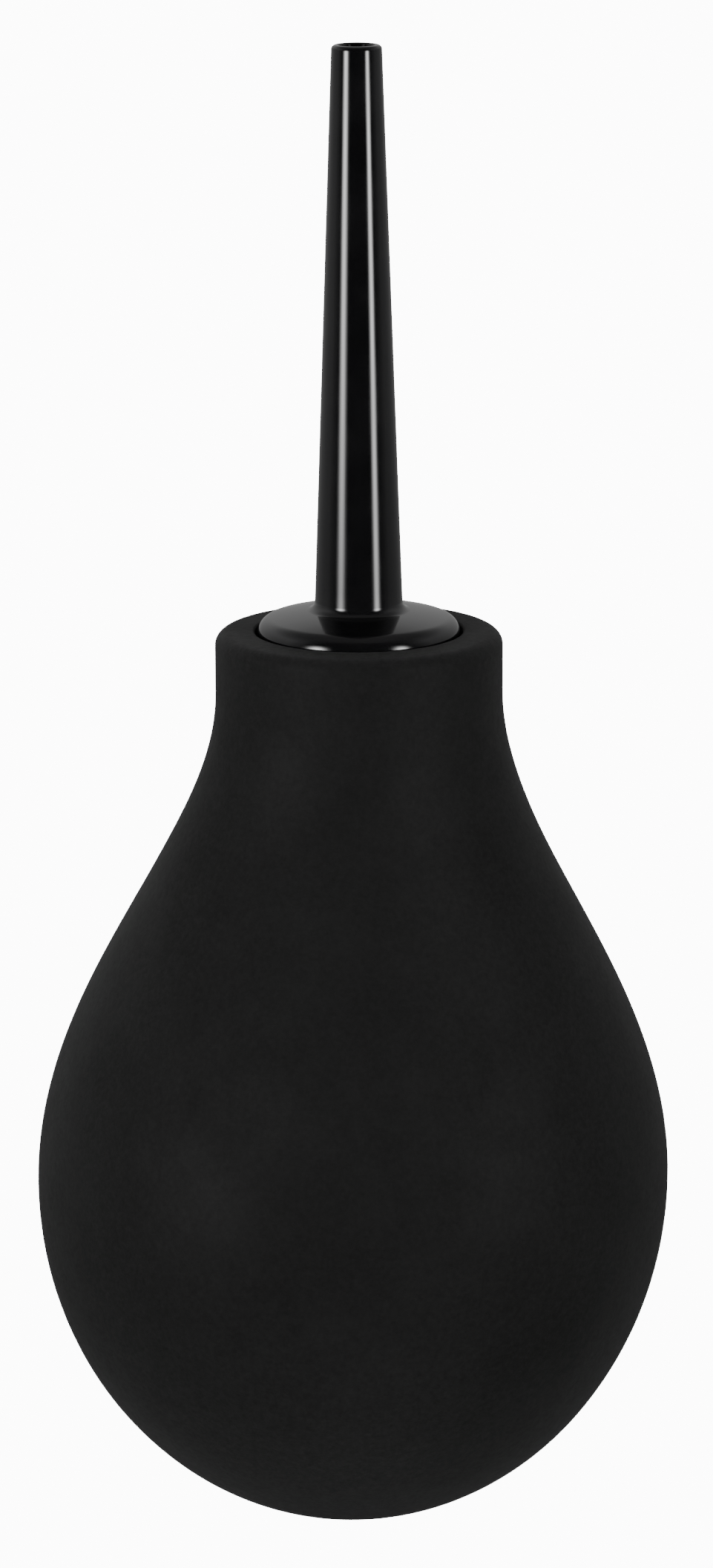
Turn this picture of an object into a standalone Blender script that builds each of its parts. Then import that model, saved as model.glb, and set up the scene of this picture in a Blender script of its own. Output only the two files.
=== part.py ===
"""A hand bulb blower: a soft bulb with a thick neck, and a nozzle that screws into the neck.

Metres, +Z up. The origin is the middle of the bulb's flat foot, and every turned part shares the
Z axis. The bulb is one hollow soft moulding. A rigid bush is keyed into its neck, and takes the
threaded plug under the nozzle's flange. A sealing ring sits round the plug, below the flange.
"""

import math

import bmesh
import bpy
from mathutils import Matrix, Vector
from mathutils.geometry import interpolate_bezier

# Driving dimensions of the bulb
BELLY_R = 0.0425
BELLY_DEPTH = 0.0473  # of the half ellipse below the belly, before the foot cuts it flat
FOOT_R = 0.012
NECK_R = 0.019
RIM_ABOVE_BELLY = 0.0749
SHOULDER_BELOW_RIM = 0.0083  # where the straight neck starts to flare
SHOULDER_PULL = 0.0201  # the flare's curve handles: down from the shoulder, and up from the belly
BELLY_PULL = 0.0269
RIM_ROUND = 0.0018
RIM_CROWN = 0.00015  # how far the rim's rounding starts below the lip
LIP_ROUND = 0.0004
WALL = 0.003
BASE_WALL = 0.0045

# Driving dimensions of the nozzle
NOZZLE_ABOVE_RIM = 0.0768
TIP_R = 0.0033
TIP_ROUND = 0.0006
ROOT_R = 0.0058
ROOT_FILLET = 0.0013
DOME_ABOVE_RIM = 0.0032
DOME_R = 0.048  # of the sphere that the flange's top is part of
FLANGE_R = 0.0134
FLANGE_ROUND = 0.0022
TIP_BORE_R = 0.0015
MOUTH_R = 0.0023  # of the bore's flared mouth
MOUTH_DEPTH = 0.002
ROOT_BORE_R = 0.0026

# Driving dimensions of the joint between them
THREAD_PITCH = 0.004
THREAD_TURNS = 1.75
THREAD_CORE_R = 0.0083
THREAD_HELIX_R = 0.00845
THREAD_RIDGE_R = 0.001
GAP = 0.0003  # between pieces that touch
SLACK = 0.0003  # between the running threads

# Heights that follow from them
BELLY_Z = BELLY_DEPTH * math.sqrt(1 - (FOOT_R / BELLY_R) ** 2)
RIM_Z = BELLY_Z + RIM_ABOVE_BELLY
TIP_Z = RIM_Z + NOZZLE_ABOVE_RIM
SHELF_Z = RIM_Z - 0.0025  # floor of the recess that the flange sits in
SEAT_Z = SHELF_Z + GAP  # underside of the flange
BUSH_BOTTOM_Z = SHELF_Z - 0.0195
PLUG_BOTTOM_Z = SHELF_Z - 0.0125
THREAD_Z = PLUG_BOTTOM_Z + 0.002
THROAT_Z = BUSH_BOTTOM_Z - 0.003  # where the throat starts to widen into the hollow
PLUG_CORE_TOP_Z = SHELF_Z - 0.0005
ROOT_BORE_Z = RIM_Z + 0.0008

# Radii round the bush
RECESS_R = FLANGE_R + GAP
BUSH_R = 0.0131
THROAT_R = 0.0115
BUSH_BORE_R = THREAD_CORE_R + 0.00055
COUNTERBORE_R = 0.0122
PLUG_NECK_R = 0.0096
PLUG_CORE_R = 0.0062

# The throat's curve handles: down from the throat, and up from the hollow's widest point
THROAT_PULL = 0.009
HOLLOW_PULL = 0.028

# The bush's two barbs, each flat on top, with a short crest and a tapered underside
RIB_R = 0.0146
RIB_TOPS_Z = (SHELF_Z - 0.0028, SHELF_Z - 0.0118)
RIB_CREST = 0.0006
RIB_HEIGHT = 0.0026

# The bush's keys, between the barbs, which stop it from turning in the bulb
KEY_COUNT = 4
KEY_REACH = 0.0144
KEY_WIDTH = 0.002
KEY_TOP_Z = SHELF_Z - 0.0062
KEY_BOTTOM_Z = SHELF_Z - 0.0098
KEY_ROOT = 0.001  # how far a key runs into the bush's wall

# Chamfers
BUSH_CHAMFER = 0.0003
BUSH_LEAD_IN = 0.0006
PLUG_CHAMFER = 0.0006

# The sealing ring, round the plug's neck
RING_R = 0.0109
RING_CORD_R = 0.0009
RING_Z = SEAT_Z - GAP - RING_CORD_R
COUNTERBORE_Z = RING_Z - RING_CORD_R - GAP

BULB_SIDES = 48
BUSH_SIDES = 36
NOZZLE_SIDES = 36


def clear_scene():
    for obj in list(bpy.data.objects):
        bpy.data.objects.remove(obj, do_unlink=True)


def new_collection(name):
    collection = bpy.data.collections.new(name)
    bpy.context.scene.collection.children.link(collection)
    return collection


def material(name, color, roughness):
    made = bpy.data.materials.new(name)
    made.use_nodes = True
    shader = made.node_tree.nodes["Principled BSDF"]
    shader.inputs["Base Color"].default_value = (*color, 1.0)
    shader.inputs["Roughness"].default_value = roughness
    shader.inputs["Metallic"].default_value = 0.0
    return made


def arc(center, radius, start, end, steps):
    """Points on a circle, or on an ellipse where radius is a pair, from one angle to another in degrees."""
    across, up = radius if isinstance(radius, tuple) else (radius, radius)
    turns = [math.radians(start + (end - start) * i / steps) for i in range(steps + 1)]
    return [(center[0] + across * math.cos(a), center[1] + up * math.sin(a)) for a in turns]


def flare(top, top_handle, bottom, bottom_handle, steps):
    """An S-shaped run between two points that leaves both of them along Z."""
    handles = ((top[0], top[1] - top_handle), (bottom[0], bottom[1] + bottom_handle))
    corners = [Vector((*point, 0)) for point in (top, *handles, bottom)]
    return [(point.x, point.y) for point in interpolate_bezier(*corners, steps + 1)]


def baked(obj, collection):
    """The object with its modifiers made into its mesh, smooth but for its sharp edges."""
    bpy.context.view_layer.update()
    graph = bpy.context.evaluated_depsgraph_get()
    mesh = bpy.data.meshes.new_from_object(obj.evaluated_get(graph))
    bm = bmesh.new()
    bm.from_mesh(mesh)
    bmesh.ops.remove_doubles(bm, verts=bm.verts, dist=1e-7)
    bm.to_mesh(mesh)
    bm.free()
    mesh.shade_smooth()
    mesh.set_sharp_from_angle(angle=math.radians(35))
    solid = bpy.data.objects.new(obj.name, mesh)
    solid.matrix_world = obj.matrix_world.copy()
    name = obj.name
    bpy.data.objects.remove(obj, do_unlink=True)
    solid.name = name
    collection.objects.link(solid)
    return solid


def turned(name, profile, sides, origin_z, collection, closed):
    """A profile turned round Z. It runs up the inside and down the outside, and is open only at the axis."""
    points = [(r, 0, z - origin_z) for r, z in profile]
    edges = [(i, i + 1) for i in range(len(points) - 1)]
    if closed:
        edges.append((len(points) - 1, 0))
    mesh = bpy.data.meshes.new(name)
    mesh.from_pydata(points, edges, [])
    obj = bpy.data.objects.new(name, mesh)
    bpy.context.scene.collection.objects.link(obj)
    obj.location.z = origin_z
    screw = obj.modifiers.new("turn", "SCREW")
    screw.steps = sides
    screw.render_steps = sides
    screw.use_merge_vertices = True
    screw.merge_threshold = 0.00001
    return baked(obj, collection)


def coil(name, radius, start_z, turns, ridge, run_out, collection):
    """A round bar wound up a right-hand helix about Z, thinner over its last run_out turns at each end."""
    steps = round(turns * NOZZLE_SIDES)
    curve = bpy.data.curves.new(name, "CURVE")
    curve.dimensions = "3D"
    curve.bevel_depth = ridge
    curve.bevel_resolution = 2
    curve.use_fill_caps = True
    spline = curve.splines.new("POLY")
    spline.points.add(steps)
    for i, point in enumerate(spline.points):
        turn = turns * i / steps
        angle = 2 * math.pi * turn
        height = start_z + THREAD_PITCH * turn
        point.co = (radius * math.cos(angle), radius * math.sin(angle), height, 1)
        if run_out:
            point.radius = min(1.0, 0.3 + 0.7 * min(turn, turns - turn) / run_out)
    obj = bpy.data.objects.new(name, curve)
    bpy.context.scene.collection.objects.link(obj)
    return baked(obj, collection)


def keys(name, grow, collection):
    """The bush's keys as radial blocks; grow makes the slots that they sit in."""
    top = KEY_TOP_Z + grow
    bottom = KEY_BOTTOM_Z - grow
    inner = BUSH_R - KEY_ROOT
    outer = KEY_REACH + grow
    bm = bmesh.new()
    for i in range(KEY_COUNT):
        place = Matrix.Rotation(2 * math.pi * i / KEY_COUNT, 4, "Z")
        place @= Matrix.Translation(((inner + outer) / 2, 0, (top + bottom) / 2))
        size = (outer - inner, KEY_WIDTH + 2 * grow, top - bottom, 1)
        bmesh.ops.create_cube(bm, size=1, matrix=place @ Matrix.Diagonal(size))
    mesh = bpy.data.meshes.new(name)
    bm.to_mesh(mesh)
    bm.free()
    obj = bpy.data.objects.new(name, mesh)
    collection.objects.link(obj)
    return obj


def combined(obj, other, operation):
    other.hide_render = True
    other.display_type = "WIRE"
    boolean = obj.modifiers.new(other.name, "BOOLEAN")
    boolean.operation = operation
    boolean.object = other
    boolean.solver = "EXACT"


def ribs(grow):
    """The bush's outer side from top to bottom: two barbs, flat above and tapered below."""
    side = BUSH_R + grow
    crest = RIB_R + grow
    points = []
    for top in RIB_TOPS_Z:
        points += [(side, top + grow), (crest, top + grow), (crest, top - RIB_CREST - grow)]
        points.append((side, top - RIB_HEIGHT - grow))
    return points


def bulb_profile():
    """From the middle of the hollow's floor, up the inside, over the rim and down the outside."""
    inner_belly = BELLY_R - WALL
    hollow = arc((0, BELLY_Z), (inner_belly, BELLY_Z - BASE_WALL), -90, 0, 8)
    throat = flare((THROAT_R, THROAT_Z), THROAT_PULL, (inner_belly, BELLY_Z), HOLLOW_PULL, 9)
    hollow += throat[-2::-1]
    ledge = BUSH_BOTTOM_Z - GAP
    neck = [(THROAT_R, ledge), (BUSH_R + GAP, ledge), *reversed(ribs(GAP))]
    neck += [(BUSH_R + GAP, SHELF_Z), (RECESS_R, SHELF_Z)]
    neck += arc((RECESS_R + LIP_ROUND, RIM_Z - LIP_ROUND), LIP_ROUND, 180, 90, 3)
    rim = arc((NECK_R - RIM_ROUND, RIM_Z - RIM_CROWN - RIM_ROUND), RIM_ROUND, 86, 0, 6)
    shoulder = (NECK_R, RIM_Z - SHOULDER_BELOW_RIM)
    outside = flare(shoulder, SHOULDER_PULL, (BELLY_R, BELLY_Z), BELLY_PULL, 15)
    foot = -math.degrees(math.acos(FOOT_R / BELLY_R))
    outside += arc((0, BELLY_Z), (BELLY_R, BELLY_DEPTH), 0, foot, 10)[1:]
    return [*hollow, *neck, *rim, *outside, (0, 0)]


def bush_profile():
    outside = [(BUSH_R - BUSH_CHAMFER, SHELF_Z), (BUSH_R, SHELF_Z - BUSH_CHAMFER), *ribs(0)]
    outside += [(BUSH_R, BUSH_BOTTOM_Z + BUSH_LEAD_IN), (BUSH_R - BUSH_LEAD_IN, BUSH_BOTTOM_Z)]
    inside = [(BUSH_BORE_R + BUSH_CHAMFER, BUSH_BOTTOM_Z), (BUSH_BORE_R, BUSH_BOTTOM_Z + BUSH_CHAMFER)]
    inside += [(BUSH_BORE_R, COUNTERBORE_Z), (COUNTERBORE_R, COUNTERBORE_Z), (COUNTERBORE_R, SHELF_Z)]
    return inside + outside


def root_fillet(dome_z):
    """The fillet's centre, and the nozzle's taper in degrees: it touches the taper and the dome."""
    slope = (ROOT_R - TIP_R) / (NOZZLE_ABOVE_RIM - DOME_ABOVE_RIM)
    # The centre is where the taper and the dome meet, once both are moved out by the fillet's radius.
    spread = 1 + slope**2
    reach = DOME_R + ROOT_FILLET
    foot_r = TIP_R + ROOT_FILLET * math.sqrt(spread) + slope * (TIP_Z - dome_z)
    height = (foot_r * slope + math.sqrt(reach**2 * spread - foot_r**2)) / spread
    return (foot_r - slope * height, dome_z + height), math.degrees(math.atan(slope))


def nozzle_profile():
    """From the tip down the outside to the plug's end, and up the bore."""
    dome_z = RIM_Z + DOME_ABOVE_RIM - DOME_R
    fillet, taper = root_fillet(dome_z)
    down_dome = math.degrees(math.atan2(fillet[1] - dome_z, fillet[0]))
    edge_r = FLANGE_R - FLANGE_ROUND
    edge_z = dome_z + math.sqrt((DOME_R - FLANGE_ROUND) ** 2 - edge_r**2)
    edge_angle = math.degrees(math.atan2(edge_z - dome_z, edge_r))
    outside = arc((TIP_R - TIP_ROUND, TIP_Z - TIP_ROUND), TIP_ROUND, 90, taper, 4)
    outside += arc(fillet, ROOT_FILLET, 180 + taper, 180 + down_dome, 6)
    outside += arc((0, dome_z), DOME_R, down_dome, edge_angle, 5)[1:]
    outside += arc((edge_r, edge_z), FLANGE_ROUND, edge_angle, 0, 4)[1:]
    step = COUNTERBORE_Z + GAP
    outside += [(FLANGE_R, SEAT_Z), (PLUG_NECK_R, SEAT_Z), (PLUG_NECK_R, step + PLUG_CHAMFER)]
    outside += [(THREAD_CORE_R, step), (THREAD_CORE_R, PLUG_BOTTOM_Z + PLUG_CHAMFER)]
    outside += [(THREAD_CORE_R - PLUG_CHAMFER, PLUG_BOTTOM_Z), (PLUG_CORE_R, PLUG_BOTTOM_Z)]
    inside = [(PLUG_CORE_R, PLUG_CORE_TOP_Z), (ROOT_BORE_R, ROOT_BORE_Z)]
    mouth = [(TIP_BORE_R, TIP_Z - MOUTH_DEPTH), (MOUTH_R, TIP_Z)]
    return outside + inside + mouth


def make_bulb(parts, cutters):
    obj = turned("bulb", bulb_profile(), BULB_SIDES, 0, parts, closed=False)
    combined(obj, keys("key_slots", GAP, cutters), "DIFFERENCE")
    obj.data.materials.append(material("soft_black_rubber", (0.012, 0.012, 0.013), 0.6))


def make_bush(parts, cutters):
    obj = turned("neck_bush", bush_profile(), BUSH_SIDES, 0, parts, closed=True)
    combined(obj, keys("bush_keys", 0, cutters), "UNION")
    start = THREAD_Z - THREAD_PITCH / 2
    turns = (SHELF_Z - start) / THREAD_PITCH + 0.25
    groove = coil("thread_groove", THREAD_HELIX_R, start, turns, THREAD_RIDGE_R + SLACK, 0, cutters)
    groove.rotation_euler.z = -math.pi
    combined(obj, groove, "DIFFERENCE")
    obj.data.materials.append(material("black_nylon", (0.02, 0.02, 0.021), 0.45))


def make_ring(axis, parts):
    profile = arc((RING_R, RING_Z), RING_CORD_R, 180, -180, 8)[:-1]
    obj = turned("sealing_ring", profile, NOZZLE_SIDES, SEAT_Z, parts, closed=True)
    obj.data.materials.append(material("black_nitrile", (0.015, 0.015, 0.015), 0.5))
    hang(obj, axis)


def make_nozzle(axis, parts, cutters):
    obj = turned("nozzle", nozzle_profile(), NOZZLE_SIDES, SEAT_Z, parts, closed=True)
    ridge = coil("thread_ridge", THREAD_HELIX_R, THREAD_Z, THREAD_TURNS, THREAD_RIDGE_R, 0.2, cutters)
    combined(obj, ridge, "UNION")
    obj.data.materials.append(material("gloss_black_plastic", (0.008, 0.008, 0.008), 0.12))
    hang(obj, axis)


def hang(obj, axis):
    obj.parent = axis
    obj.location = (0, 0, 0)


def main():
    clear_scene()
    parts = new_collection("hand_bulb_blower")
    cutters = new_collection("cutters")
    axis = bpy.data.objects.new("nozzle_axis", None)
    axis.location.z = SEAT_Z
    parts.objects.link(axis)
    make_bulb(parts, cutters)
    make_bush(parts, cutters)
    make_ring(axis, parts)
    make_nozzle(axis, parts, cutters)


main()
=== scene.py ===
"""The looks of the hand bulb blower: fine turned surfaces, soft-touch and polished materials, studio light.

Everything is in metres, in the frame's own axes: +Z up, with the origin in the middle of the foot.
Each CAD part is replaced by a finely turned one of the same sizes, which rides on the same body.
"""

import math

import bpy
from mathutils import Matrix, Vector, noise
from mathutils.geometry import interpolate_bezier


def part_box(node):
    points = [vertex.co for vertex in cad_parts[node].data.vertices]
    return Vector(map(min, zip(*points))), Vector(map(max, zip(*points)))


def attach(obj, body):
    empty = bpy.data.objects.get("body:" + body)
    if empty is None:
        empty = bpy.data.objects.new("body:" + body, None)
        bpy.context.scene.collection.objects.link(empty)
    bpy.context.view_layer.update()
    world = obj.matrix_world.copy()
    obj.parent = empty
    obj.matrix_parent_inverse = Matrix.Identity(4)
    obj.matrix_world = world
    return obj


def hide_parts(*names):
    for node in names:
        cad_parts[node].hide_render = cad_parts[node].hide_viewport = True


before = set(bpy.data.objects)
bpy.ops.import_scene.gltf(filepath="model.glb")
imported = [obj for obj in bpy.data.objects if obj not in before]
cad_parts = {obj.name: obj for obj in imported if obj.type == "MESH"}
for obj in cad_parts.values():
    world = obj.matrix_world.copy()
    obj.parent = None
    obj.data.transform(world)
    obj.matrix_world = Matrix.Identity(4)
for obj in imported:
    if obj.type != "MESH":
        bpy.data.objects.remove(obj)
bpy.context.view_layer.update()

# Sizes that the frame gives
_, BULB_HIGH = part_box("bulb")
BUSH_LOW, BUSH_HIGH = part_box("neck_bush")
RING_LOW, RING_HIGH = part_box("sealing_ring")
NOZZLE_LOW, NOZZLE_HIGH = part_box("nozzle")
BELLY_R, RIM_Z = BULB_HIGH.x, BULB_HIGH.z
RIB_R, SHELF_Z, BUSH_BOTTOM_Z = BUSH_HIGH.x, BUSH_HIGH.z, BUSH_LOW.z
FLANGE_R, TIP_Z, PLUG_BOTTOM_Z = NOZZLE_HIGH.x, NOZZLE_HIGH.z, NOZZLE_LOW.z
RING_CORD_R = (RING_HIGH.z - RING_LOW.z) / 2
RING_Z = (RING_HIGH.z + RING_LOW.z) / 2
RING_R = RING_HIGH.x - RING_CORD_R

# The bulb's other sizes, the same as the part's
GAP = 0.0003  # between pieces that touch
BELLY_DEPTH = 0.0473  # of the half ellipse below the belly, before the foot cuts it flat
FOOT_R = 0.012
NECK_R = 0.019
SHOULDER_BELOW_RIM = 0.0083  # where the straight neck starts to flare
SHOULDER_PULL, BELLY_PULL = 0.0201, 0.0269  # the flare's curve handles: down, and up
THROAT_PULL, HOLLOW_PULL = 0.009, 0.028  # the same, inside
WALL, BASE_WALL = 0.003, 0.0045
RIM_ROUND = 0.0018
RIM_CROWN = 0.00015  # how far the rim's rounding starts below the lip
LIP_ROUND = 0.0004

# The nozzle's
TIP_R, TIP_ROUND = 0.0033, 0.0006
ROOT_R, ROOT_FILLET = 0.0058, 0.0013
DOME_ABOVE_RIM = 0.0032
DOME_R = 0.048  # of the sphere that the flange's top is part of
FLANGE_ROUND = 0.0022
TIP_BORE_R, ROOT_BORE_R = 0.0015, 0.0026
MOUTH_R, MOUTH_DEPTH, MOUTH_ROUND = 0.0023, 0.002, 0.0003  # of the bore's flared mouth
PLUG_CORE_R, PLUG_NECK_R, PLUG_CHAMFER = 0.0062, 0.0096, 0.0006

# The thread's and the bush's
THREAD_PITCH, THREAD_TURNS = 0.004, 1.75
THREAD_CORE_R, THREAD_HELIX_R, THREAD_RIDGE_R = 0.0083, 0.00845, 0.001
THREAD_RUN_OUT, THREAD_END = 0.2, 0.3  # the turns over which its ends thin out, and to what share
BUSH_R, THROAT_R, COUNTERBORE_R = 0.0131, 0.0115, 0.0122
BUSH_CHAMFER, BUSH_LEAD_IN = 0.0003, 0.0006
RIB_CREST, RIB_HEIGHT = 0.0006, 0.0026

# Sizes that follow from them
BELLY_Z = BELLY_DEPTH * math.sqrt(1 - (FOOT_R / BELLY_R) ** 2)
RECESS_R = FLANGE_R + GAP
SEAT_Z = SHELF_Z + GAP
THROAT_Z = BUSH_BOTTOM_Z - 0.003
RIB_TOPS_Z = (SHELF_Z - 0.0028, SHELF_Z - 0.0118)
BUSH_BORE_R = THREAD_CORE_R + 0.00055
COUNTERBORE_Z = RING_LOW.z - GAP
THREAD_Z = PLUG_BOTTOM_Z + 0.002

# What a soft moulding does: slight waves in its skin, and a lean
WAVE_DEPTH, WAVE_SIZE = 0.00012, 0.03
LEAN = -0.0013

SIDES = 160
STAGE_SIDES = 64


# ---------------------------------------------------------------- profiles


def arc(center, radius, start, end, steps):
    """Points on a circle, or on an ellipse where radius is a pair, between two angles in degrees."""
    across, up = radius if isinstance(radius, tuple) else (radius, radius)
    turns = [math.radians(start + (end - start) * i / steps) for i in range(steps + 1)]
    return [(center[0] + across * math.cos(a), center[1] + up * math.sin(a)) for a in turns]


def flare(top, top_handle, bottom, bottom_handle, steps):
    """An S-shaped run between two points that leaves both of them along Z."""
    handles = ((top[0], top[1] - top_handle), (bottom[0], bottom[1] + bottom_handle))
    corners = [Vector((*point, 0)) for point in (top, *handles, bottom)]
    return [(point.x, point.y) for point in interpolate_bezier(*corners, steps + 1)]


def finer(points, longest, closed):
    """The same outline, with no straight step longer than that."""
    ends = points[1:] + points[:1] if closed else points[1:]
    fine = []
    for a, b in zip(points, ends):
        count = max(1, math.ceil(math.dist(a, b) / longest))
        steps = [i / count for i in range(count)]
        fine += [(a[0] + (b[0] - a[0]) * t, a[1] + (b[1] - a[1]) * t) for t in steps]
    return fine if closed else fine + points[-1:]


def ribs(grow):
    """The bush's outer side from top to bottom: two barbs, flat above and tapered below."""
    side, crest = BUSH_R + grow, RIB_R + grow
    points = []
    for top in RIB_TOPS_Z:
        points += [(side, top + grow), (crest, top + grow), (crest, top - RIB_CREST - grow)]
        points.append((side, top - RIB_HEIGHT - grow))
    return points


def bulb_profile():
    """From the middle of the hollow's floor, up the inside, over the rim and down the outside."""
    inner_belly, inner_depth = BELLY_R - WALL, BELLY_Z - BASE_WALL
    hollow = arc((0, BELLY_Z), (inner_belly, inner_depth), -90, 0, 40)
    throat = flare((THROAT_R, THROAT_Z), THROAT_PULL, (inner_belly, BELLY_Z), HOLLOW_PULL, 40)
    hollow += throat[-2::-1]
    ledge = BUSH_BOTTOM_Z - GAP
    neck = [(THROAT_R, ledge), (BUSH_R + GAP, ledge), *reversed(ribs(GAP))]
    neck += [(BUSH_R + GAP, SHELF_Z), (RECESS_R, SHELF_Z)]
    neck += arc((RECESS_R + LIP_ROUND, RIM_Z - LIP_ROUND), LIP_ROUND, 180, 90, 8)
    rim = arc((NECK_R - RIM_ROUND, RIM_Z - RIM_CROWN - RIM_ROUND), RIM_ROUND, 86, 0, 20)
    shoulder = (NECK_R, RIM_Z - SHOULDER_BELOW_RIM)
    outside = flare(shoulder, SHOULDER_PULL, (BELLY_R, BELLY_Z), BELLY_PULL, 90)
    foot = -math.degrees(math.acos(FOOT_R / BELLY_R))
    outside += arc((0, BELLY_Z), (BELLY_R, BELLY_DEPTH), 0, foot, 60)[1:]
    return finer([*hollow, *neck, *rim, *outside, (0, 0)], longest=0.0015, closed=False)


def bush_profile():
    """Up the bore and the counterbore, and down the ribbed outside."""
    outside = [(BUSH_R - BUSH_CHAMFER, SHELF_Z), (BUSH_R, SHELF_Z - BUSH_CHAMFER), *ribs(0)]
    outside += [(BUSH_R, BUSH_BOTTOM_Z + BUSH_LEAD_IN), (BUSH_R - BUSH_LEAD_IN, BUSH_BOTTOM_Z)]
    inside = [(BUSH_BORE_R + BUSH_CHAMFER, BUSH_BOTTOM_Z), (BUSH_BORE_R, BUSH_BOTTOM_Z + BUSH_CHAMFER)]
    inside += [(BUSH_BORE_R, COUNTERBORE_Z), (COUNTERBORE_R, COUNTERBORE_Z), (COUNTERBORE_R, SHELF_Z)]
    return finer(inside + outside, longest=0.0002, closed=True)


def root_fillet(dome_z):
    """The fillet's centre, and the nozzle's taper in degrees: it touches the taper and the dome."""
    slope = (ROOT_R - TIP_R) / (TIP_Z - RIM_Z - DOME_ABOVE_RIM)
    # The centre is where the taper and the dome meet, once both are moved out by the fillet's radius.
    spread = 1 + slope**2
    reach = DOME_R + ROOT_FILLET
    foot_r = TIP_R + ROOT_FILLET * math.sqrt(spread) + slope * (TIP_Z - dome_z)
    height = (foot_r * slope + math.sqrt(reach**2 * spread - foot_r**2)) / spread
    return (foot_r - slope * height, dome_z + height), math.degrees(math.atan(slope))


def nozzle_profile():
    """Up the flared mouth, over the tip and down the outside to the plug's end, and up the bore."""
    dome_z = RIM_Z + DOME_ABOVE_RIM - DOME_R
    fillet, taper = root_fillet(dome_z)
    down_dome = math.degrees(math.atan2(fillet[1] - dome_z, fillet[0]))
    edge_r = FLANGE_R - FLANGE_ROUND
    edge_z = dome_z + math.sqrt((DOME_R - FLANGE_ROUND) ** 2 - edge_r**2)
    edge_angle = math.degrees(math.atan2(edge_z - dome_z, edge_r))
    mouth = [(TIP_BORE_R, TIP_Z - MOUTH_DEPTH)]
    mouth += arc((MOUTH_R + MOUTH_ROUND, TIP_Z - MOUTH_ROUND), MOUTH_ROUND, 180, 90, 6)
    outside = arc((TIP_R - TIP_ROUND, TIP_Z - TIP_ROUND), TIP_ROUND, 90, taper, 12)
    outside += arc(fillet, ROOT_FILLET, 180 + taper, 180 + down_dome, 24)
    outside += arc((0, dome_z), DOME_R, down_dome, edge_angle, 20)[1:]
    outside += arc((edge_r, edge_z), FLANGE_ROUND, edge_angle, 0, 20)[1:]
    step = COUNTERBORE_Z + GAP
    plug = [(FLANGE_R, SEAT_Z), (PLUG_NECK_R, SEAT_Z), (PLUG_NECK_R, step + PLUG_CHAMFER)]
    core = [(THREAD_CORE_R, step), (THREAD_CORE_R, PLUG_BOTTOM_Z + PLUG_CHAMFER)]
    plug += finer(core, longest=0.00012, closed=False)
    plug += [(THREAD_CORE_R - PLUG_CHAMFER, PLUG_BOTTOM_Z), (PLUG_CORE_R, PLUG_BOTTOM_Z)]
    bore = [(PLUG_CORE_R, SHELF_Z - 0.0005), (ROOT_BORE_R, RIM_Z + 0.0008)]
    return finer(mouth + outside + plug + bore, longest=0.002, closed=True)


# ---------------------------------------------------------------- thread


def beside_helix(angle, z, start_z):
    """Which turn of the helix passes nearest there, counted from its start, and how far above it that is."""
    phase = angle / (2 * math.pi)
    turn = phase + round((z - start_z) / THREAD_PITCH - phase)
    return turn, z - start_z - turn * THREAD_PITCH


def beyond(r, size, across):
    """How far out of r a round bar on the helix reaches, at that height above the bar's middle."""
    if abs(across) >= size:
        return 0.0
    return max(0.0, THREAD_HELIX_R + math.sqrt(size**2 - across**2) - r)


def thread_relief(angle, r, z):
    """How far the plug's thread stands out of its core."""
    turn, across = beside_helix(angle, z, THREAD_Z)
    if abs(r - THREAD_CORE_R) > 1e-6 or not 0 <= turn <= THREAD_TURNS:
        return 0.0
    from_end = min(turn, THREAD_TURNS - turn) / THREAD_RUN_OUT
    return beyond(r, THREAD_RIDGE_R * min(1.0, THREAD_END + (1 - THREAD_END) * from_end), across)


def groove_relief(angle, r, z):
    """How far the bush's thread is cut into its bore, and out through the counterbore's floor."""
    size = THREAD_RIDGE_R + GAP
    in_bore = abs(r - BUSH_BORE_R) < 1e-6
    on_floor = abs(z - COUNTERBORE_Z) < 1e-6 and r < THREAD_HELIX_R + size
    turn, across = beside_helix(angle, z, THREAD_Z - THREAD_PITCH)
    if turn < -0.5 or not (in_bore or on_floor):
        return 0.0
    return beyond(r, size, across)


# ---------------------------------------------------------------- meshes


def linked(name, mesh):
    obj = bpy.data.objects.new(name, mesh)
    bpy.context.scene.collection.objects.link(obj)
    return obj


def turned(name, profile, closed, relief=None, sides=SIDES):
    """A profile turned round Z. It runs up the inside and down the outside. The relief is a function
    of angle, radius and height: how far out the surface is moved there."""
    angles = [2 * math.pi * i / sides for i in range(sides)]
    points, rows = [], []
    for r, z in profile:
        if r < 1e-9:
            rows.append([len(points)])
            points.append((0, 0, z))
            continue
        rows.append(range(len(points), len(points) + sides))
        for angle in angles:
            full = r + (relief(angle, r, z) if relief else 0)
            points.append((full * math.cos(angle), full * math.sin(angle), z))
    faces = []
    for above, below in zip(rows, rows[1:] + rows[:1] if closed else rows[1:]):
        for i in range(sides):
            j = (i + 1) % sides
            corners = [above[i % len(above)], below[i % len(below)]]
            corners += [below[j % len(below)], above[j % len(above)]]
            faces.append(list(dict.fromkeys(corners)))  # a triangle where one row is a point on the axis
    mesh = bpy.data.meshes.new(name)
    mesh.from_pydata(points, [], faces)
    mesh.update()
    mesh.shade_smooth()
    mesh.set_sharp_from_angle(angle=math.radians(32))
    return linked(name, mesh)


def eased(t):
    """0 below 0, 1 above 1, and smooth between."""
    t = max(0.0, min(1.0, t))
    return t * t * (3 - 2 * t)


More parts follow.
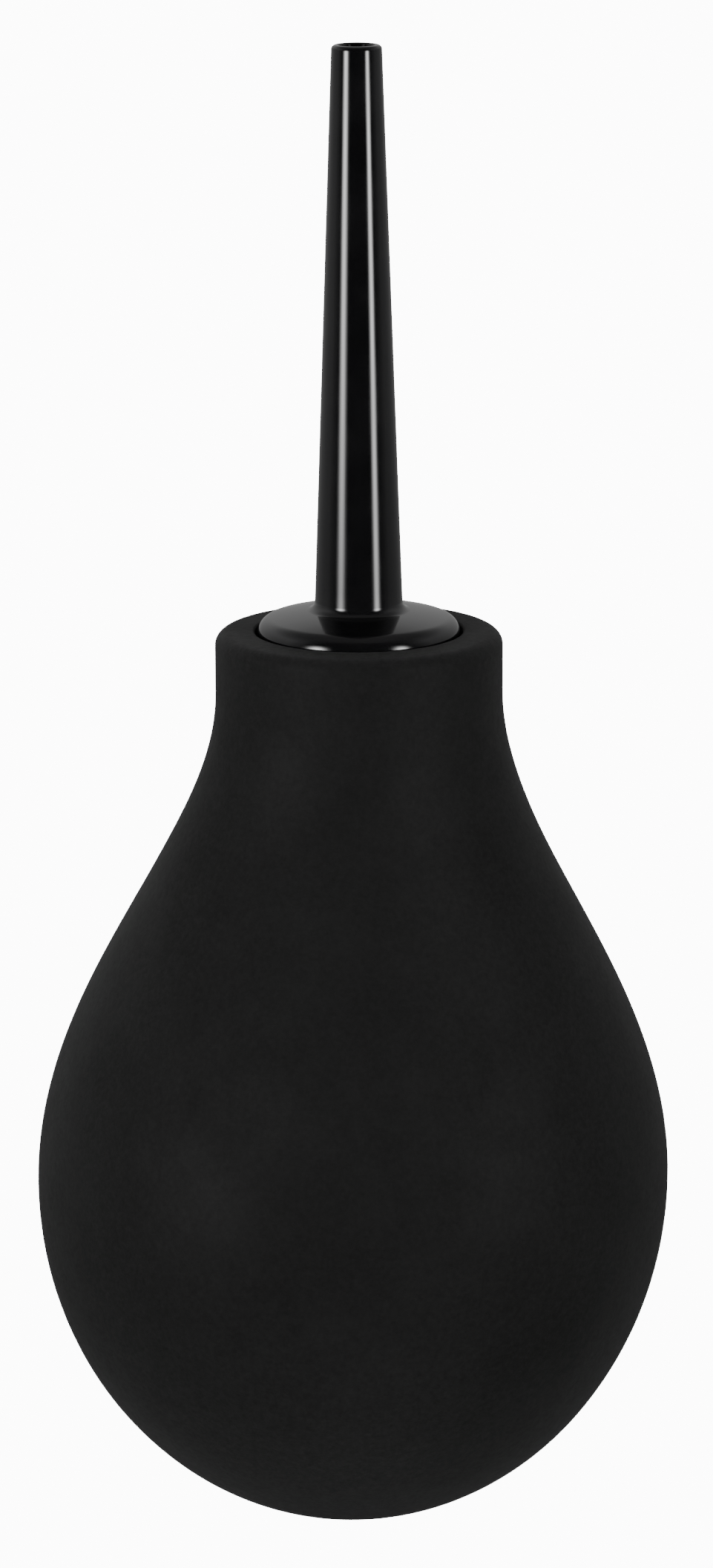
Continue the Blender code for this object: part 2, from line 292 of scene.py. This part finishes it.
def soften(obj):
    """Waves in the belly's skin, and a lean to one side that grows below the neck."""
    neck_z = RIM_Z - SHOULDER_BELOW_RIM
    for vertex in obj.data.vertices:
        height = vertex.co.z / RIM_Z
        fade = min(eased((0.78 - height) / 0.15), eased((height - 0.06) / 0.1))
        push = noise.noise(vertex.co / WAVE_SIZE) * WAVE_DEPTH * fade
        vertex.co += Vector((vertex.co.x, vertex.co.y, 0)).normalized() * push
        below = max(0.0, 1 - vertex.co.z / neck_z)
        vertex.co.x += LEAN * below * (2 - below) * eased(below / 0.2)


# ---------------------------------------------------------------- shader nodes


def maths(tree, operation, first, second=None):
    """A Math node of two values, each a socket or a number."""
    node = tree.nodes.new("ShaderNodeMath")
    node.operation = operation
    for socket, value in zip(node.inputs, (first, second)):
        if isinstance(value, (int, float)):
            socket.default_value = value
        elif value is not None:
            tree.links.new(value, socket)
    return node.outputs["Value"]


def place_of(tree, stretch=(1, 1, 1)):
    """Where a point is on the object, in metres, stretched along its axes."""
    coordinates = tree.nodes.new("ShaderNodeTexCoord")
    mapping = tree.nodes.new("ShaderNodeMapping")
    mapping.inputs["Scale"].default_value = stretch
    tree.links.new(coordinates.outputs["Object"], mapping.inputs["Vector"])
    return mapping.outputs["Vector"]


def noise_of(tree, place, size, detail=2.0, rough=0.5):
    """Noise whose lumps are about that many metres across."""
    node = tree.nodes.new("ShaderNodeTexNoise")
    node.inputs["Scale"].default_value = 1 / size
    node.inputs["Detail"].default_value = detail
    node.inputs["Roughness"].default_value = rough
    tree.links.new(place, node.inputs["Vector"])
    return node.outputs["Fac"]


def ranged(tree, value, low, high, start=0.3, end=0.7):
    """A value between start and end as a number between low and high, and no further."""
    node = tree.nodes.new("ShaderNodeMapRange")
    for name, number in (("From Min", start), ("From Max", end), ("To Min", low), ("To Max", high)):
        node.inputs[name].default_value = number
    tree.links.new(value, node.inputs["Value"])
    return node.outputs["Result"]


def tinted(tree, value, dark, light, start=0.35, end=0.65):
    """A colour that runs from dark to light with the noise."""
    ramp = tree.nodes.new("ShaderNodeValToRGB")
    for element, position, color in zip(ramp.color_ramp.elements, (start, end), (dark, light)):
        element.position = position
        element.color = (*color, 1)
    tree.links.new(value, ramp.inputs["Fac"])
    return ramp.outputs["Color"]


def bumped(tree, height, distance, strength, under=None):
    """A surface raised by the noise, over another bump where one is given."""
    node = tree.nodes.new("ShaderNodeBump")
    node.inputs["Distance"].default_value = distance
    node.inputs["Strength"].default_value = strength
    tree.links.new(height, node.inputs["Height"])
    if under:
        tree.links.new(under, node.inputs["Normal"])
    return node.outputs["Normal"]


# ---------------------------------------------------------------- materials


def principled(name, color, roughness):
    """A new material, its node tree and its shader."""
    made = bpy.data.materials.new(name)
    made.use_nodes = True
    tree = made.node_tree
    shader = tree.nodes["Principled BSDF"]
    shader.inputs["Base Color"].default_value = (*color, 1)
    shader.inputs["Roughness"].default_value = roughness
    return made, tree, shader


def driven(tree, shader, **sources):
    """Links each socket, named with underscores for its spaces, to the shader's input of that name."""
    for name, source in sources.items():
        tree.links.new(source, shader.inputs[name.replace("_", " ")])


def soft_silicone():
    """Matt black soft-touch rubber: a fine speckle, cloudy handling marks and a faint bloom at the edges."""
    made, tree, shader = principled("soft_silicone", (0.005, 0.005, 0.005), 0.7)
    shader.inputs["Specular IOR Level"].default_value = 0.08
    shader.inputs["Sheen Roughness"].default_value = 0.75
    place = place_of(tree)
    clouds = noise_of(tree, place, 0.02, 6, 0.68)
    grain = noise_of(tree, place, 0.00045, 3, 0.6)
    speckle = noise_of(tree, place, 0.0008, 3, 0.8)
    pores = bumped(tree, grain, 0.00003, 0.5)
    driven(
        tree,
        shader,
        Base_Color=tinted(tree, clouds, (0.0022, 0.0022, 0.0022), (0.0054, 0.0054, 0.0054)),
        Sheen_Weight=ranged(tree, speckle, 0.032, 0.058),
        Roughness=ranged(tree, clouds, 0.7, 0.6),
        Normal=bumped(tree, clouds, 0.00006, 0.25, under=pores),
    )
    return made


def polished_plastic():
    """Glossy black moulded plastic, with the faint lengthwise draw marks of its mould."""
    made, tree, shader = principled("polished_plastic", (0.004, 0.004, 0.0045), 0.09)
    shader.inputs["Specular IOR Level"].default_value = 0.5
    draw = noise_of(tree, place_of(tree, stretch=(1, 1, 0.03)), 0.0006, 2, 0.5)
    smudges = noise_of(tree, place_of(tree), 0.006, 3, 0.6)
    driven(
        tree,
        shader,
        Base_Color=tinted(tree, smudges, (0.0035, 0.0035, 0.004), (0.0055, 0.0055, 0.006)),
        Roughness=ranged(tree, smudges, 0.07, 0.13),
        Normal=bumped(tree, draw, 0.000004, 0.4),
    )
    return made


def moulded_nylon():
    """The bush's dull black plastic."""
    made, tree, shader = principled("moulded_nylon", (0.018, 0.018, 0.019), 0.42)
    grain = noise_of(tree, place_of(tree), 0.0007, 3, 0.6)
    driven(
        tree,
        shader,
        Base_Color=tinted(tree, grain, (0.014, 0.014, 0.015), (0.024, 0.024, 0.025)),
        Roughness=ranged(tree, grain, 0.36, 0.5),
        Normal=bumped(tree, grain, 0.00002, 0.5),
    )
    return made


def nitrile():
    """The sealing ring's smooth dark rubber."""
    made, tree, shader = principled("nitrile", (0.01, 0.01, 0.01), 0.38)
    grain = noise_of(tree, place_of(tree), 0.0012, 3, 0.6)
    driven(
        tree,
        shader,
        Base_Color=tinted(tree, grain, (0.008, 0.008, 0.008), (0.014, 0.014, 0.0135)),
        Roughness=ranged(tree, grain, 0.32, 0.46),
        Normal=bumped(tree, grain, 0.00001, 0.4),
    )
    return made


# ---------------------------------------------------------------- pieces


def placed(obj, made, body, node):
    obj.data.materials.append(made)
    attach(obj, body)
    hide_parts(node)


def make_bulb():
    obj = turned("bulb_moulding", bulb_profile(), closed=False)
    soften(obj)
    placed(obj, soft_silicone(), "bulb", "bulb")


def make_bush():
    obj = turned("threaded_bush", bush_profile(), closed=True, relief=groove_relief)
    placed(obj, moulded_nylon(), "bulb", "neck_bush")


def make_ring():
    profile = arc((RING_R, RING_Z), RING_CORD_R, 180, -180, 32)[:-1]
    obj = turned("flange_seal", profile, closed=True)
    placed(obj, nitrile(), "seal", "sealing_ring")


def make_nozzle():
    obj = turned("nozzle_moulding", nozzle_profile(), closed=True, relief=thread_relief)
    placed(obj, polished_plastic(), "nozzle", "nozzle")


# ---------------------------------------------------------------- studio


def glow(name, strength):
    """A material that only gives light, and the input for its strength."""
    made = bpy.data.materials.new(name)
    made.use_nodes = True
    tree = made.node_tree
    tree.nodes.clear()
    light = tree.nodes.new("ShaderNodeEmission")
    light.inputs["Strength"].default_value = strength
    out = tree.nodes.new("ShaderNodeOutputMaterial")
    tree.links.new(light.outputs["Emission"], out.inputs["Surface"])
    return made, light.inputs["Strength"]


def make_stage():
    """A pale floor and a pale round wall, seen by the camera only, so that the light stays the lamps'."""
    radius, top, cove = 4.0, 5.0, 0.5
    bend = arc((radius - cove, cove), cove, -90, 0, 12)
    profile = [(0, 0), (radius - cove, 0), *bend, (radius, top), (0, top)]
    obj = turned("studio", profile, closed=False, sides=STAGE_SIDES)
    obj.location.z = -0.0002
    paper, _ = glow("pale_paper", 12)
    obj.data.materials.append(paper)
    obj.visible_diffuse = False
    obj.visible_glossy = False
    obj.visible_shadow = False


def lamp_glow(name, radiance):
    """The light of a diffuser with one lamp behind it: brightest in the middle, and a bell curve across."""
    made, strength = glow(name, 0)
    tree = made.node_tree
    place = place_of(tree)
    square = tree.nodes.new("ShaderNodeVectorMath")
    square.operation = "DOT_PRODUCT"
    tree.links.new(place, square.inputs[0])
    tree.links.new(place, square.inputs[1])
    bell = maths(tree, "EXPONENT", maths(tree, "MULTIPLY", square.outputs["Value"], -0.5))
    tree.links.new(maths(tree, "MULTIPLY", bell, radiance), strength)
    return made


def soft_lamp(name, azimuth, distance, height, spread, radiance):
    """An upright lamp that faces the axis. Azimuth is from straight in front, to the right, in degrees.
    Spread is how far out, across and up, its light falls to 0.6 of the middle's."""
    reach = 3  # how many spreads the lamp's panel runs out to each side
    mesh = bpy.data.meshes.new(name)
    corners = [(-reach, 0, -reach), (reach, 0, -reach), (reach, 0, reach), (-reach, 0, reach)]
    mesh.from_pydata(corners, [], [(0, 1, 2, 3)])
    obj = linked(name, mesh)
    angle = math.radians(azimuth)
    obj.location = (distance * math.sin(angle), -distance * math.cos(angle), height)
    obj.rotation_euler.z = angle
    obj.scale = (spread[0], 1, spread[1])
    obj.data.materials.append(lamp_glow(name, radiance))
    obj.visible_camera = False
    obj.visible_shadow = False


def make_lights():
    soft_lamp("lamp_left", -48, 0.6, 0.19, (0.062, 0.1), 26)
    soft_lamp("lamp_right", 48.5, 0.6, 0.17, (0.048, 0.11), 25)


def make_world():
    """A room that is dark in front, with pale walls at the sides and behind, over a pale table."""
    room, table, walls, ceiling = 0.03, 0.15, 0.36, 0.2
    world = bpy.data.worlds.new("studio_room")
    bpy.context.scene.world = world
    world.use_nodes = True
    tree = world.node_tree
    coordinates = tree.nodes.new("ShaderNodeTexCoord")
    parts = tree.nodes.new("ShaderNodeSeparateXYZ")
    tree.links.new(coordinates.outputs["Generated"], parts.inputs["Vector"])
    x, y, z = (parts.outputs[axis] for axis in "XYZ")
    wall = ranged(tree, y, 0, walls, -0.5, 0)
    above_table = ranged(tree, z, 0, 1, -0.3, -0.1)
    below_ceiling = ranged(tree, z, 1, 0, 0.5, 0.97)
    brighter_up = ranged(tree, z, 1, 1.6, 0.05, 0.4)
    brighter_left = ranged(tree, x, 1.1, 0.9, -0.8, 0.8)
    for part in (above_table, below_ceiling, brighter_up, brighter_left):
        wall = maths(tree, "MULTIPLY", part, wall)
    down = ranged(tree, z, table, 0, -0.7, -0.2)
    overhead = ranged(tree, z, 0, ceiling, 0.8, 0.98)
    light = room
    for part in (down, wall, overhead):
        light = maths(tree, "ADD", part, light)
    background = tree.nodes["Background"]
    background.inputs["Color"].default_value = (1, 1, 1, 1)
    tree.links.new(light, background.inputs["Strength"])


def make_camera():
    """At the height of someone at the bench, turned down to the object's middle."""
    distance, above_rim, aside = 0.7, 0.1523, 0.0003
    down, roll = 13.905, 0.23
    data = bpy.data.cameras.new("camera")
    data.sensor_width = 36
    data.lens = 124.7727
    obj = linked("camera", data)
    obj.location = (aside, -distance, RIM_Z + above_rim)
    obj.rotation_euler = (math.radians(90 - down), math.radians(roll), 0)
    bpy.context.scene.camera = obj


make_camera()
make_bulb()
make_bush()
make_ring()
make_nozzle()
make_stage()
make_lights()
make_world()
